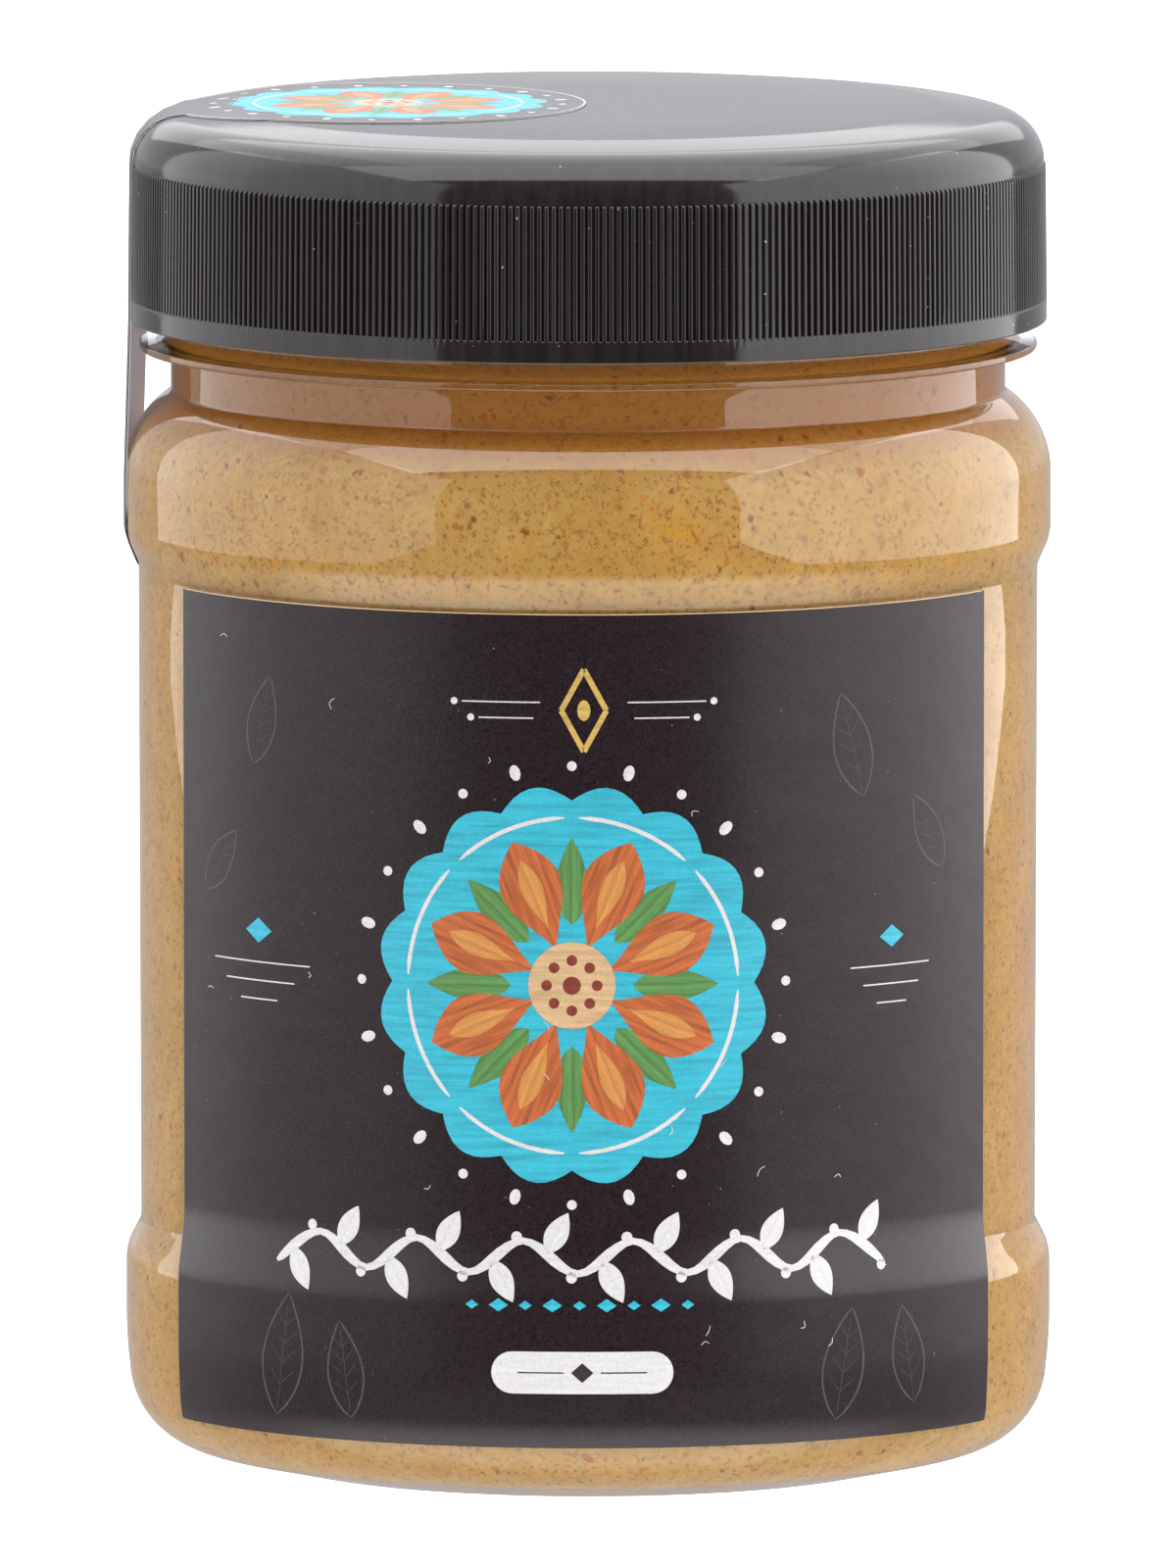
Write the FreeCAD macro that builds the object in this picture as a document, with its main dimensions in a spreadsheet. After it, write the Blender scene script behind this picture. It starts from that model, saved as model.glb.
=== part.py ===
"""Screw-capped clear jar of almond butter: jar, filling, knurled lid, front label and seal label.

Millimetres, +Z up. The jar's axis is the Z axis and its standing ring lies at z = 0.
The front label faces -Y and the seal label runs down the -X side.
"""
import FreeCAD, Part
import math
import os
import Sketcher
from FreeCAD import Rotation, Vector

# Driving sizes, each set by itself.
SIZES = {
    # recessed label panel, the size that every other radius is built on
    "panel_radius": 33.88,
    "panel_taper": 0.16,
    "panel_height": 49.8,
    "panel_round": 1.2,
    # foot of the jar
    "standing_level": 0.0,
    "heel_run": 10.88,
    "heel_lean": 0.72,
    "heel_height": 2.3,
    "heel_round": 6.5,
    "standing_width": 1.4,
    "standing_round": 0.5,
    "push_up_run": 2.2,
    "push_up_height": 1.9,
    "push_up_middle": 0.5,
    "push_up_round": 2.5,
    # lower bulge and the step up to the panel
    "bulge_proud": 1.12,
    "bulge_lift": 7.7,
    "bulge_foot_round": 25.0,
    "bulge_height": 6.4,
    "bulge_top_round": 4.0,
    "step_height": 2.2,
    # shoulder band
    "shoulder_proud": 1.01,
    "shoulder_step": 2.3,
    "shoulder_foot_round": 4.0,
    "shoulder_band": 8.5,
    "shoulder_round": 7.2,
    "shoulder_rise": 2.4,
    # neck and support ring
    "neck_inset": 3.46,
    "neck_height": 3.2,
    "neck_round": 0.5,
    "ring_proud": 2.39,
    "ring_thickness": 0.63,
    "rim_round": 0.3,
    # walls of the jar
    "body_wall": 0.65,
    "base_wall": 0.9,
    "neck_wall": 1.3,
    # filling
    "headspace": 6.0,
    "fill_clearance": 0.02,
    # lid
    "lid_gap": 1.5,
    "lid_height": 16.21,
    "lid_draft": 0.13,
    "lid_edge_round": 3.8,
    "lid_face_inset": 7.6,
    "lid_face_fall": 0.8,
    "lid_roof": 1.5,
    "lid_skirt": 1.7,
    "lid_inner_round": 1.2,
    "thread_room": 1.31,
    "knurl_foot": 1.8,
    "knurl_height": 10.1,
    "knurl_depth": 0.32,
    "knurl_count": 400,
    # front label
    "label_film": 0.1,
    "label_foot": 5.0,
    "label_drop": 0.3,
    "label_angle": 127.0,
    "label_turn": -1.2,
    "label_corner": 0.25,
    # seal label
    "seal_film": 0.1,
    "seal_lift": 0.03,
    "seal_head_radius": 15.6,
    "seal_head_offset": 15.8,
    "seal_width": 13.0,
    "seal_turn": -5.0,
    "seal_grip": 4.5,
    "seal_tail": 3.4,
}

# Radii and heights that follow from the sizes.
PLACES = {
    "panel_top_radius": "Sizes.panel_radius + Sizes.panel_taper",
    "bulge_radius": "Sizes.panel_radius + Sizes.bulge_proud",
    "heel_radius": "bulge_radius - Sizes.heel_lean",
    "standing_radius": "heel_radius - Sizes.heel_run",
    "foot_radius": "standing_radius - Sizes.standing_width",
    "push_up_radius": "foot_radius - Sizes.push_up_run",
    "shoulder_radius": "panel_top_radius + Sizes.shoulder_proud",
    "neck_radius": "shoulder_radius - Sizes.neck_inset",
    "ring_radius": "neck_radius + Sizes.ring_proud",
    "lid_bore": "neck_radius + Sizes.thread_room",
    "lid_top_radius": "lid_bore + Sizes.lid_skirt",
    "lid_face_radius": "lid_top_radius - Sizes.lid_face_inset",
    "lid_foot_radius": "lid_top_radius + Sizes.lid_draft",
    "knurl_root_radius": "lid_top_radius - Sizes.knurl_depth",
    "knurl_half_pitch": "pi * lid_top_radius / Sizes.knurl_count",
    "knurl_reach": "lid_foot_radius + Sizes.knurl_depth - knurl_root_radius",
    "knurl_mouth": "2 * knurl_half_pitch * knurl_reach / Sizes.knurl_depth",
    "bulge_foot": "Sizes.heel_height + Sizes.bulge_lift",
    "bulge_top": "bulge_foot + Sizes.bulge_height",
    "panel_foot": "bulge_top + Sizes.step_height",
    "panel_top": "panel_foot + Sizes.panel_height",
    "shoulder_foot": "panel_top + Sizes.shoulder_step",
    "shoulder_top": "shoulder_foot + Sizes.shoulder_band",
    "neck_foot": "shoulder_top + Sizes.shoulder_rise",
    "ring_foot": "neck_foot + Sizes.neck_height",
    "ring_top": "ring_foot + Sizes.ring_thickness",
    "lid_foot": "ring_top + Sizes.lid_gap",
    "knurl_bottom": "lid_foot + Sizes.knurl_foot",
    "lid_top": "lid_foot + Sizes.lid_height",
    "lid_edge": "lid_top - Sizes.lid_face_fall",
    "rim": "lid_top - Sizes.lid_roof",
    "fill_level": "rim - Sizes.headspace",
    "label_top": "panel_top - Sizes.label_drop",
    "seal_half_width": "Sizes.seal_width / 2",
    "seal_grip_top": "shoulder_foot + Sizes.seal_grip",
    "seal_end": "shoulder_foot - Sizes.seal_tail",
}

doc = FreeCAD.newDocument("AlmondButterJar")


def make_sheet(name, cells):
    sheet = doc.addObject("Spreadsheet::Sheet", name)
    for row, (alias, content) in enumerate(cells.items(), start=1):
        sheet.set(f"A{row}", alias)
        sheet.set(f"B{row}", content)
        sheet.setAlias(f"B{row}", alias)
    doc.recompute()
    return sheet


sizes = make_sheet("Sizes", {alias: str(size) for alias, size in SIZES.items()})
places = make_sheet("Places", {alias: "=" + rule for alias, rule in PLACES.items()})


def split_terms(terms):
    """'rim - neck_wall' gives [(1, 'rim'), (-1, 'neck_wall')]."""
    words = ("+ " + terms).split()
    return [(1 if sign == "+" else -1, name) for sign, name in zip(words[::2], words[1::2])]


def number(terms):
    """Present value of a sum of named sizes and places."""
    return sum(sign * (sizes if name in SIZES else places).get(name) for sign, name in split_terms(terms))


def formula(terms):
    """The same sum as an expression on the sheets."""
    parts = []
    for sign, name in split_terms(terms):
        sheet = "Sizes" if name in SIZES else "Places"
        parts.append(("+ " if sign > 0 else "- ") + f"{sheet}.{name}")
    return " ".join(parts).removeprefix("+ ")


def bind(feature, **properties):
    """Ties properties to sums of named values; a double underscore stands for a dot."""
    for name, terms in properties.items():
        feature.setExpression(name.replace("__", "."), formula(terms))


class Corner:
    """A corner of a section outline: its radius, its height and the round that softens it.

    A corner with no radius lies on the axis.
    """

    def __init__(self, radius, height, rounding=None):
        self.radius, self.height, self.rounding = radius, height, rounding
        self.place = Vector(number(radius) if radius else 0.0, number(height), 0)
        self.fillet = number(rounding) if rounding else 0.0


def tangent_points(before, corner, after):
    """Where the round of a corner meets the edges on its two sides, and which way it turns."""
    towards = (corner.place - before.place).normalize()
    away = (after.place - corner.place).normalize()
    reach = corner.fillet * math.tan(towards.getAngle(away) / 2)
    left_turn = towards.cross(away).z > 0
    return corner.place - towards * reach, corner.place + away * reach, left_turn


def minor_arc(start, end, radius):
    """The short arc from start to end, anticlockwise."""
    chord = end - start
    to_centre = math.sqrt(max(radius ** 2 - chord.Length ** 2 / 4, 0))
    centre = start + chord / 2 + Vector(-chord.y, chord.x, 0).normalize() * to_centre
    first = math.atan2(start.y - centre.y, start.x - centre.x)
    last = math.atan2(end.y - centre.y, end.x - centre.x)
    return Part.ArcOfCircle(Part.Circle(centre, Vector(0, 0, 1), radius), first, last)


def rule(kind, *arguments, terms=None):
    """A sketch constraint, with the sum of named values that drives it if it is a dimension."""
    values = [number(terms)] if terms else []
    return Sketcher.Constraint(kind, *arguments, *values), terms


def hold(sketch, rules):
    """Adds the constraints together and ties each dimension to its sum."""
    indices = sketch.addConstraint([constraint for constraint, _ in rules])
    for index, (_, terms) in zip(indices, rules):
        if terms:
            sketch.setExpression(f"Constraints[{index}]", formula(terms))


def pinned(geometry, position, corner):
    """Rules that hold a point of the sketch at the corner's radius and height."""
    if corner.radius:
        across = rule("DistanceX", -1, 1, geometry, position, terms=corner.radius)
    else:
        across = rule("PointOnObject", geometry, position, -2)
    return [across, rule("DistanceY", -1, 1, geometry, position, terms=corner.height)]


def rounded(sketch, corner, before, after, ends):
    """Draws the arc that softens a corner and gives the rules that hold it."""
    start, end, left_turn = ends
    arc = sketch.addGeometry(minor_arc(*((start, end) if left_turn else (end, start)), corner.fillet))
    first, last = (1, 2) if left_turn else (2, 1)
    point = sketch.addGeometry(Part.Point(corner.place), True)
    return [
        rule("Tangent", before, 2, arc, first),
        rule("Tangent", after, 1, arc, last),
        rule("Radius", arc, terms=corner.rounding),
        rule("PointOnObject", point, 1, before),
        rule("PointOnObject", point, 1, after),
        *pinned(point, 1, corner),
    ]


def draw_outline(sketch, corners):
    """A closed outline through the corners, every corner and round held by named values."""
    count = len(corners)
    ends = [tangent_points(corners[i - 1], corners[i], corners[(i + 1) % count]) for i in range(count)]
    lines = [sketch.addGeometry(Part.LineSegment(ends[i][1], ends[(i + 1) % count][0]))
             for i in range(count)]
    rules = []
    for i, corner in enumerate(corners):
        if corner.fillet:
            rules += rounded(sketch, corner, lines[i - 1], lines[i], ends[i])
        else:
            rules.append(rule("Coincident", lines[i - 1], 2, lines[i], 1))
            rules += pinned(lines[i], 1, corner)
    hold(sketch, rules)


def make_body(name):
    return doc.addObject("PartDesign::Body", name)


def origin_feature(body, role):
    return next(feature for feature in body.Origin.OriginFeatures if feature.Role == role)


def make_sketch(body, name, plane):
    sketch = body.newObject("Sketcher::SketchObject", name)
    sketch.AttachmentSupport = [(origin_feature(body, plane), "")]
    sketch.MapMode = "FlatFace"
    return sketch


def turn(body, corners, angle=None):
    """A section turned round the Z axis: all the way, or through a named angle centred on +X."""
    sketch = make_sketch(body, f"{body.Name}_section", "XZ_Plane")
    draw_outline(sketch, corners)
    doc.recompute()
    feature = body.newObject("PartDesign::Revolution", f"{body.Name}_turned")
    feature.Profile = sketch
    feature.ReferenceAxis = (sketch, ["V_Axis"])
    feature.Angle = 360
    if angle:
        feature.Midplane = True
        bind(feature, Angle=angle)
    doc.recompute()
    return feature


def base_corners():
    """Underside of the jar from its centre outwards: push-up, then standing ring."""
    return [
        Corner(None, "push_up_height + push_up_middle"),
        Corner("push_up_radius", "push_up_height", "push_up_round"),
        Corner("foot_radius", "standing_level", "standing_round"),
        Corner("standing_radius", "standing_level", "standing_round"),
    ]


def side_corners(film=None):
    """Outside of the body from the heel to the foot of the panel, moved out by a film if given."""
    out, tight = (f" + {film}", f" - {film}") if film else ("", "")
    return [
        Corner("heel_radius" + out, "heel_height" + tight, "heel_round" + out),
        Corner("bulge_radius" + out, "bulge_foot", "bulge_foot_round" + out),
        Corner("bulge_radius" + out, "bulge_top", "bulge_top_round" + out),
        Corner("panel_radius" + out, "panel_foot", "panel_round" + tight),
    ]


def shoulder_corners():
    """Outside of the jar from the top of the panel to the rim, with the support ring."""
    return [
        Corner("panel_top_radius", "panel_top", "panel_round"),
        Corner("shoulder_radius", "shoulder_foot", "shoulder_foot_round"),
        Corner("shoulder_radius", "shoulder_top", "shoulder_round"),
        Corner("neck_radius", "neck_foot", "neck_round"),
        Corner("neck_radius", "ring_foot"),
        Corner("ring_radius", "ring_foot"),
        Corner("ring_radius", "ring_top"),
        Corner("neck_radius", "ring_top"),
        Corner("neck_radius", "rim", "rim_round"),
    ]


def cavity_corners(gap=None):
    """Inside of the jar from the centre of its base to the neck, drawn in by a gap if given."""
    tight, lift = (f" - {gap}", f" + {gap}") if gap else ("", "")
    side, floor, mouth = " - body_wall" + tight, " + base_wall" + lift, " - neck_wall" + tight
    return [
        Corner(None, "push_up_height + push_up_middle" + floor),
        Corner("push_up_radius", "push_up_height" + floor, "push_up_round"),
        Corner("foot_radius", "standing_level" + floor, "standing_round"),
        Corner("standing_radius", "standing_level" + floor, "standing_round"),
        Corner("heel_radius" + side, "heel_height" + floor, "heel_round - body_wall"),
        Corner("bulge_radius" + side, "bulge_foot", "bulge_foot_round"),
        Corner("bulge_radius" + side, "bulge_top", "bulge_top_round - body_wall"),
        Corner("panel_radius" + side, "panel_foot", "panel_round"),
        Corner("panel_top_radius" + side, "panel_top", "panel_round"),
        Corner("shoulder_radius" + side, "shoulder_foot", "shoulder_foot_round - body_wall"),
        Corner("shoulder_radius" + side, "shoulder_top" + side, "shoulder_round - body_wall"),
        Corner("neck_radius" + mouth, "neck_foot" + side, "neck_round"),
    ]


def make_jar():
    """Clear jar: one shell from the push-up in its base to the rim."""
    jar = make_body("jar")
    mouth = [Corner("neck_radius - neck_wall", "rim", "rim_round")]
    turn(jar, base_corners() + side_corners() + shoulder_corners() + mouth + cavity_corners()[::-1])
    return jar


def make_filling():
    """Almond butter: what fills the jar, up to a headspace under the rim."""
    filling = make_body("almond_butter")
    top = [
        Corner("neck_radius - neck_wall - fill_clearance", "fill_level"),
        Corner(None, "fill_level"),
    ]
    turn(filling, cavity_corners("fill_clearance") + top)
    return filling


def draw_groove(sketch):
    """One V groove of the knurl: as deep as the knurl, and as wide as its pitch at the lid's side."""
    root, half = number("knurl_root_radius"), number("knurl_mouth") / 2
    mouth = root + number("knurl_reach")
    points = [Vector(root, 0, 0), Vector(mouth, -half, 0), Vector(mouth, half, 0)]
    sides = [sketch.addGeometry(Part.LineSegment(points[i], points[i - 2])) for i in range(3)]
    rules = [rule("Coincident", sides[i], 2, sides[i - 2], 1) for i in range(3)]
    rules += [
        rule("PointOnObject", sides[0], 1, -1),
        rule("DistanceX", -1, 1, sides[0], 1, terms="knurl_root_radius"),
        rule("DistanceX", sides[0], 1, sides[1], 1, terms="knurl_reach"),
        rule("Symmetric", sides[1], 1, sides[1], 2, -1),
        rule("DistanceY", sides[1], 1, sides[1], 2, terms="knurl_mouth"),
    ]
    hold(sketch, rules)


def make_lid():
    """Screw cap seated on the rim: flat face inside a sloping rim and a full round, knurled side, plain band at its foot."""
    lid = make_body("lid")
    turn(lid, [
        Corner(None, "lid_top"),
        Corner(None, "rim"),
        Corner("lid_bore", "rim", "lid_inner_round"),
        Corner("lid_bore", "lid_foot"),
        Corner("lid_foot_radius", "lid_foot"),
        Corner("lid_foot_radius", "knurl_bottom"),
        Corner("lid_top_radius", "lid_edge", "lid_edge_round"),
        Corner("lid_face_radius", "lid_top"),
    ])
    section = make_sketch(lid, "knurl_section", "XY_Plane")
    bind(section, AttachmentOffset__Base__z="knurl_bottom")
    draw_groove(section)
    doc.recompute()
    groove = lid.newObject("PartDesign::Pocket", "knurl_groove")
    groove.Profile = section
    groove.Reversed = True
    bind(groove, Length="knurl_height")
    doc.recompute()
    knurl = lid.newObject("PartDesign::PolarPattern", "knurl")
    knurl.Originals = [groove]
    knurl.Axis = (origin_feature(lid, "Z_Axis"), [""])
    knurl.Angle = 360
    bind(knurl, Occurrences="knurl_count")
    lid.Tip = knurl
    doc.recompute()
    return lid


def place_common(name, skin, outline, degrees):
    """A film cut to an outline, then turned round the Z axis to its place on the jar."""
    label = doc.addObject("Part::Common", name)
    label.Base, label.Tool = skin, outline
    label.Placement.Rotation = Rotation(Vector(0, 0, 1), degrees)
    doc.recompute()
    return label


def make_front_label():
    """Front label: a film on the panel, the step and the lower bulge, with rounded corners."""
    skin = make_body("label_skin")
    turn(skin, [
        Corner("standing_radius", "standing_level - label_film"),
        *side_corners("label_film"),
        Corner("panel_top_radius + label_film", "label_top"),
        Corner("panel_top_radius", "label_top"),
        *side_corners()[::-1],
        Corner("standing_radius", "standing_level"),
    ])
    sector = make_body("label_sector")
    block = turn(sector, [
        Corner("foot_radius", "label_foot"),
        Corner("bulge_radius + label_corner", "label_foot"),
        Corner("bulge_radius + label_corner", "label_top"),
        Corner("foot_radius", "label_top"),
    ], angle="label_angle")
    level_lines = [f"Edge{i}" for i, edge in enumerate(block.Shape.Edges, start=1)
                   if isinstance(edge.Curve, Part.Line) and edge.BoundBox.ZLength < 1e-6]
    corners = sector.newObject("PartDesign::Fillet", "label_corners")
    corners.Base = (block, level_lines)
    bind(corners, Radius="label_corner")
    doc.recompute()
    return place_common("front_label", skin, sector, number("label_turn") - 90)


def draw_tongue(sketch):
    """Plan of the seal label: a round head with a straight tail running outwards from it."""
    offset, head, half = number("seal_head_offset"), number("seal_head_radius"), number("seal_half_width")
    meet, end = offset + math.sqrt(head ** 2 - half ** 2), number("lid_foot_radius + seal_head_radius")
    start = math.atan2(half, meet - offset)
    circle = Part.Circle(Vector(offset, 0, 0), Vector(0, 0, 1), head)
    arc = sketch.addGeometry(Part.ArcOfCircle(circle, start, 2 * math.pi - start))
    points = [Vector(meet, -half, 0), Vector(end, -half, 0), Vector(end, half, 0), Vector(meet, half, 0)]
    sides = [sketch.addGeometry(Part.LineSegment(*pair)) for pair in zip(points, points[1:])]
    hold(sketch, [
        rule("Coincident", arc, 2, sides[0], 1),
        rule("Coincident", sides[0], 2, sides[1], 1),
        rule("Coincident", sides[1], 2, sides[2], 1),
        rule("Coincident", sides[2], 2, arc, 1),
        rule("PointOnObject", arc, 3, -1),
        rule("DistanceX", -1, 1, arc, 3, terms="seal_head_offset"),
        rule("Radius", arc, terms="seal_head_radius"),
        rule("Horizontal", sides[0]),
        rule("Symmetric", sides[1], 1, sides[1], 2, -1),
        rule("DistanceX", -1, 1, sides[1], 1, terms="lid_foot_radius + seal_head_radius"),
        rule("DistanceY", sides[1], 1, sides[1], 2, terms="seal_width"),
    ])


def make_seal_label():
    """Seal label: a film with its head on the lid, its tail bridging from the lid to the shoulder."""
    skin = make_body("seal_skin")
    turn(skin, [
        Corner(None, "lid_top + seal_film"),
        Corner("lid_face_radius", "lid_top + seal_film"),
        Corner("lid_top_radius + seal_film", "lid_edge + seal_film", "lid_edge_round + seal_film"),
        Corner("lid_foot_radius + seal_film", "knurl_bottom"),
        Corner("lid_foot_radius + seal_film", "lid_foot"),
        Corner("shoulder_radius + seal_lift + seal_film", "seal_grip_top"),
        Corner("shoulder_radius + seal_lift + seal_film", "seal_end"),
        Corner("shoulder_radius + seal_lift", "seal_end"),
        Corner("shoulder_radius + seal_lift", "seal_grip_top"),
        Corner("lid_foot_radius", "lid_foot"),
        Corner("lid_foot_radius", "knurl_bottom"),
        Corner("lid_top_radius", "lid_edge", "lid_edge_round"),
        Corner("lid_face_radius", "lid_top"),
        Corner(None, "lid_top"),
    ])
    tongue = make_body("seal_tongue")
    plan = make_sketch(tongue, "tongue_plan", "XY_Plane")
    draw_tongue(plan)
    doc.recompute()
    prism = tongue.newObject("PartDesign::Pad", "tongue_pad")
    prism.Profile = plan
    bind(prism, Length="lid_top + seal_head_radius")
    doc.recompute()
    return place_common("seal_label", skin, tongue, number("seal_turn") + 180)


def check(nodes):
    """Stops the build if any feature failed or any sub-part is not one sound solid."""
    failed = [item.Name for item in doc.Objects if {"Invalid", "Error"} & set(item.State)]
    if failed:
        raise RuntimeError(f"features that failed: {failed}")
    for node in nodes:
        shape = node.Shape
        if shape.isNull() or not shape.isValid() or len(shape.Solids) != 1:
            raise RuntimeError(f"{node.Label} is not one valid solid")


def export(nodes):
    os.makedirs("parts", exist_ok=True)
    for node in nodes:
        node.Shape.exportStep(f"parts/{node.Label}.step")


subparts = [make_jar(), make_filling(), make_lid(), make_front_label(), make_seal_label()]
check(subparts)
export(subparts)
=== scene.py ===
import math
import random

import bpy
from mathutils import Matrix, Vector
from mathutils.geometry import delaunay_2d_cdt


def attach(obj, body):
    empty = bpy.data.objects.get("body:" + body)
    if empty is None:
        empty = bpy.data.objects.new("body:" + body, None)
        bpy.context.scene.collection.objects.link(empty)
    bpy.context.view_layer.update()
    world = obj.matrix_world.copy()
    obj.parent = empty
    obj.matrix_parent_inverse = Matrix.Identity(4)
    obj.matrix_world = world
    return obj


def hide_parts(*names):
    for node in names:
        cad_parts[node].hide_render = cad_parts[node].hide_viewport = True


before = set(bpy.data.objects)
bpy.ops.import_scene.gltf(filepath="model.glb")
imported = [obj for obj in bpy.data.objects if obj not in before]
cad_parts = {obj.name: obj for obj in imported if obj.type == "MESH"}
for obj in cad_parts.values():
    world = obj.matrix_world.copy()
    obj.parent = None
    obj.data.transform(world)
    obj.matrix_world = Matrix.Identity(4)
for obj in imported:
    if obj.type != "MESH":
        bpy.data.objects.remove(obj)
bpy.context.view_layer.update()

MM = 0.001
DEG = math.pi / 180

# ---------------------------------------------------------------- sizes (mm), as in the CAD model
# Three differ from it: LABEL_ANGLE, because the film keeps its width along the surface and so narrows on the
# bulge; LABEL_BRIDGE, where the film spans the step; and SEAL_BEND and SEAL_FOOT, where the tail hugs the jar.
PANEL, PANEL_TOP = 33.88, 34.04
BULGE, HEEL, SHOULDER, NECK = 35.0, 34.28, 35.045, 31.59
STAND, FOOT, PUSH = 23.4, 22.0, 19.8
LID_FOOT_R, LID_TOP_R, LID_BORE = 34.73, 34.6, 32.9
LID_FOOT, KNURL_LOW, KNURL_HIGH, LID_TOP, RIM = 86.93, 88.73, 98.83, 103.14, 101.64
FACE_R, LID_EDGE, EDGE_ROUND = 27.0, 102.34, 3.8
RING_LOW, RING_HIGH = 84.80, 85.43
WALL, FLOOR, NECK_WALL = 0.65, 0.9, 1.3
FILL = 95.64
RIBS = 400
LABEL_FOOT, LABEL_TOP, LABEL_ANGLE, LABEL_TURN, LABEL_FILM, LABEL_CORNER = 5.0, 68.1, 125.1, -1.2, 0.068, 0.25
LABEL_BRIDGE, LABEL_R = 20.2, 34.0
SEAL_TURN, SEAL_HEAD, SEAL_OFFSET, SEAL_WIDTH = -5.0, 15.6, 15.8, 13.0
SEAL_GRIP, SEAL_BEND, SEAL_FOOT, SEAL_LIFT = 75.18, 70.85, 68.6, 0.03
SEAL_FACE, SEAL_UNDER, SEAL_INNER = 0.092, 0.04, -0.008     # heights of the seal film's layers over its path
PRINT_LIFTS = (0.010, 0.016, 0.021, 0.026, 0.030)           # heights of the label's ink layers over its face
SEAL_LIFTS = (0.0925, 0.0935, 0.0945, 0.0955, 0.0965)

# ---------------------------------------------------------------- outlines


def rounded(corners, degrees=5.0):
    """Polyline through (r, z) or (r, z, round) corners, with each round as a tangent arc."""
    points = []
    for i, corner in enumerate(corners):
        here = Vector(corner[:2])
        if len(corner) == 2:
            points.append(here)
            continue
        towards = (here - Vector(corners[i - 1][:2])).normalized()
        away = (Vector(corners[i + 1][:2]) - here).normalized()
        turn = towards.angle_signed(away)
        reach = corner[2] * math.tan(abs(turn) / 2)
        inward = Vector((towards.y, -towards.x)) * math.copysign(1, turn)
        centre = here - towards * reach + inward * corner[2]
        spoke = here - towards * reach - centre
        count = max(2, math.ceil(abs(turn) / (degrees * DEG)))
        for k in range(count + 1):
            a = -turn * k / count
            points.append(centre + Vector((spoke.x * math.cos(a) - spoke.y * math.sin(a),
                                           spoke.x * math.sin(a) + spoke.y * math.cos(a))))
    return points


def subdivided(points, step):
    """The same polyline with no segment longer than step."""
    out = [points[0]]
    for a, b in zip(points, points[1:]):
        count = max(1, math.ceil((b - a).length / step))
        out += [a.lerp(b, k / count) for k in range(1, count + 1)]
    return out


def side(out=0.0):
    """Outside of the jar's body from the heel to the foot of the panel, moved out by a film."""
    return [(HEEL + out, 2.3 - out, 6.5 + out), (BULGE + out, 10.0, 25 + out), (BULGE + out, 16.4, 4 + out),
            (PANEL + out, 18.6, 1.2 - out)]


OUTSIDE = rounded([(0, 2.4), (PUSH, 1.9, 2.5), (FOOT, 0, 0.5), (STAND, 0, 0.5), *side(),
                   (PANEL_TOP, 68.4, 1.2), (SHOULDER, 70.7, 4), (SHOULDER, 79.2, 7.2), (NECK, 81.6, 0.5),
                   (NECK, RING_LOW, 0.12), (33.98, RING_LOW, 0.2), (33.98, RING_HIGH, 0.2),
                   (NECK, RING_HIGH, 1.2), (NECK, RIM, 0.3), (NECK - NECK_WALL, RIM, 0.3), (NECK - NECK_WALL, 90)])


def inside(out):
    """Inside of the jar from the centre of its floor to the neck, moved into the wall by out."""
    w, f, n = WALL - out, FLOOR - out, NECK_WALL - out
    return [(0, 2.4 + f), (PUSH, 1.9 + f, 2.5), (FOOT, f, 0.5), (STAND, f, 0.5), (HEEL - w, 2.3 + f, 6.5 - w),
            (BULGE - w, 10.0, 25), (BULGE - w, 16.4, 4 - w), (PANEL - w, 18.6, 1.2), (PANEL_TOP - w, 68.4, 1.2),
            (SHOULDER - w, 70.7, 4 - w), (SHOULDER - w, 79.2 - w, 7.2 - w), (NECK - n, 81.6 - w, 0.5)]


# ---------------------------------------------------------------- mesh builders

def piece(name, verts, faces, material, node=None, sharp=35, local=None):
    """A mesh object in metres that rides on the body, from points in millimetres; local: flat coordinates."""
    mesh = bpy.data.meshes.new(name)
    mesh.from_pydata([Vector(v) * MM for v in verts], [], faces)
    mesh.validate()
    mesh.update()
    mesh.shade_smooth()
    mesh.set_sharp_from_angle(angle=sharp * DEG)
    if local:
        layer = mesh.uv_layers.new(name="flat")
        for corner in mesh.loops:
            layer.data[corner.index].uv = local[corner.vertex_index]
    obj = bpy.data.objects.new(name, mesh)
    bpy.context.scene.collection.objects.link(obj)
    mesh.materials.append(material)
    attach(obj, "root")
    if node:
        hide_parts(node)
    return obj


def lathe(points, segments):
    """Vertices and faces of a polyline of (r, z) turned round the Z axis; ends on the axis become poles."""
    verts, faces, rings = [], [], []
    for p in points:
        if p[0] < 1e-6:
            rings.append([len(verts)])
            verts.append((0, 0, p[1]))
        else:
            rings.append(list(range(len(verts), len(verts) + segments)))
            verts += [(p[0] * math.cos(2 * math.pi * k / segments), p[0] * math.sin(2 * math.pi * k / segments), p[1])
                      for k in range(segments)]
    for low, high in zip(rings, rings[1:]):
        for k in range(segments):
            j = (k + 1) % segments
            if len(low) == 1:
                faces.append((low[0], high[j], high[k]))
            elif len(high) == 1:
                faces.append((low[k], low[j], high[0]))
            else:
                faces.append((low[k], low[j], high[j], high[k]))
    return verts, faces


def inside_loop(x, y, loop):
    hit = False
    for (x0, y0), (x1, y1) in zip(loop, loop[1:] + loop[:1]):
        if (y0 > y) != (y1 > y) and x < x0 + (y - y0) / (y1 - y0) * (x1 - x0):
            hit = not hit
    return hit


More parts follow.
